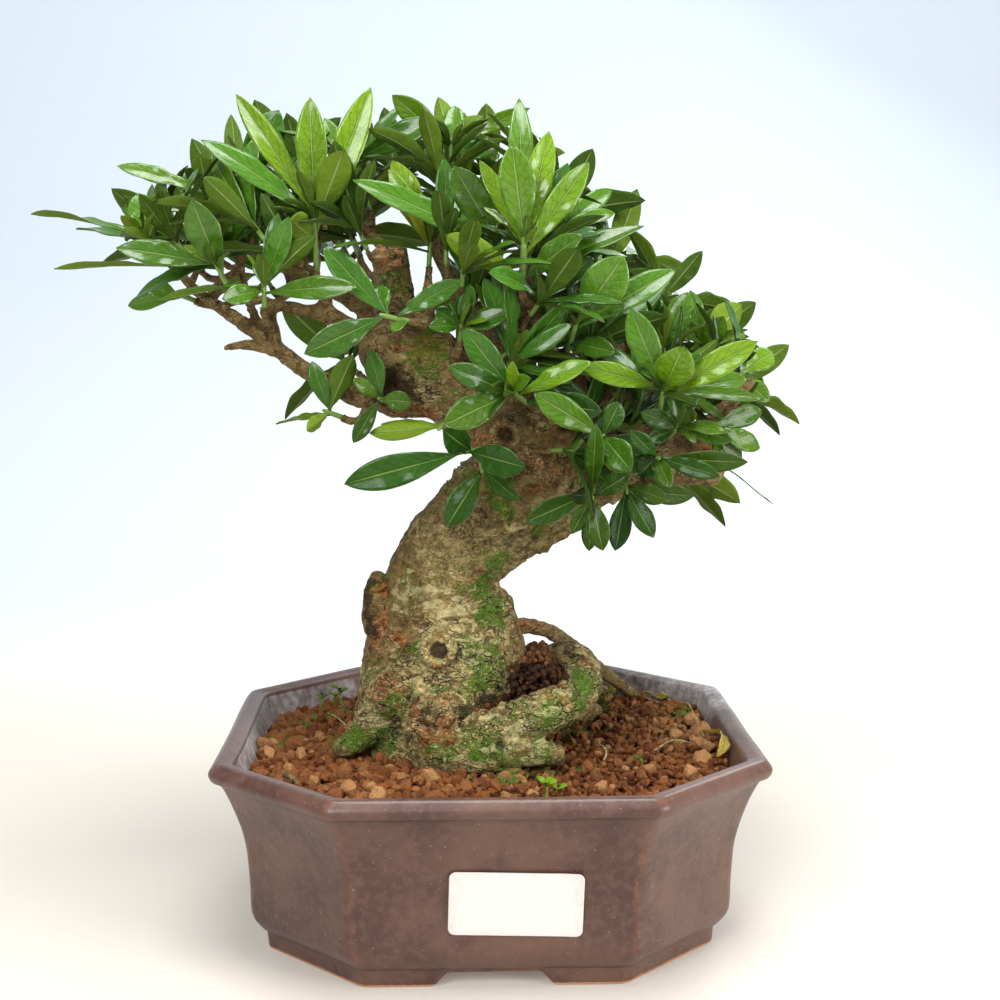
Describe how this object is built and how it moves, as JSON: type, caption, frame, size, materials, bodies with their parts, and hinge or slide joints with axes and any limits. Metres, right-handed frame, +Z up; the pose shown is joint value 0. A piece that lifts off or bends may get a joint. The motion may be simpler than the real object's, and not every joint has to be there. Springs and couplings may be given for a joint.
{
  "type": "bonsai in pot",
  "caption": "Gardenia bonsai with a gnarled trunk and glossy leafy sprays in an eight-sided glazed pot filled with clay soil.",
  "frame": {"origin": "on the ground plane that the pot's feet rest on, under the middle of the whole object's box", "axes": "+Z up along the tree, +X to the right and -Y towards the viewer of the front wall that carries the label"},
  "size_m": [0.2626, 0.1942, 0.2743],
  "materials": {
    "glazed_clay": "dark brown speckled glaze, bare clay at the feet",
    "clay_granules": "baked clay granules with moss",
    "bark": "rough bark with moss, lichen and pale scars",
    "leaf": "glossy green leaf",
    "label_paper": "blank white paper sticker",
    "screen_plastic": "black moulded plastic"
  },
  "bodies": {
    "root": {"drain_screen_left": "screen_plastic", "drain_screen_right": "screen_plastic", "label": "label_paper", "pot": "glazed_clay", "soil": "clay_granules", "spray_back_a": "leaf", "spray_back_b": "leaf", "spray_back_c": "leaf", "spray_back_d": "leaf", "spray_back_e": "leaf", "spray_back_f": "leaf", "spray_back_g": "leaf", "spray_back_h": "leaf", "spray_back_i": "leaf", "spray_back_j": "leaf", "spray_back_k": "leaf", "spray_back_l": "leaf", "spray_back_m": "leaf", "spray_back_n": "leaf", "spray_back_o": "leaf", "spray_back_p": "leaf", "spray_back_q": "leaf", "spray_back_r": "leaf", "spray_back_s": "leaf", "spray_back_t": "leaf", "spray_centre_small": "leaf", "spray_far_left": "leaf", "spray_far_left_low": "leaf", "spray_far_right": "leaf", "spray_front_middle": "leaf", "spray_left_back_grey": "leaf", "spray_left_dark": "leaf", "spray_left_front": "leaf", "spray_left_hanging": "leaf", "spray_left_high": "leaf", "spray_left_low": "leaf", "spray_left_middle": "leaf", "spray_left_olive": "leaf", "spray_left_under": "leaf", "spray_lime_back": "leaf", "spray_low_front": "leaf", "spray_low_left": "leaf", "spray_low_middle": "leaf", "spray_low_right": "leaf", "spray_oval": "leaf", "spray_pale_under": "leaf", "spray_right_edge": "leaf", "spray_right_hero": "leaf", "spray_right_low": "leaf", "spray_right_mid_top": "leaf", "spray_right_top": "leaf", "spray_right_under": "leaf", "spray_round": "leaf", "spray_top_centre": "leaf", "spray_top_hero": "leaf", "spray_top_left": "leaf", "spray_top_middle": "leaf", "spray_top_right_back": "leaf", "spray_yellow": "leaf", "trunk": "bark"}
  },
  "joints": []
}
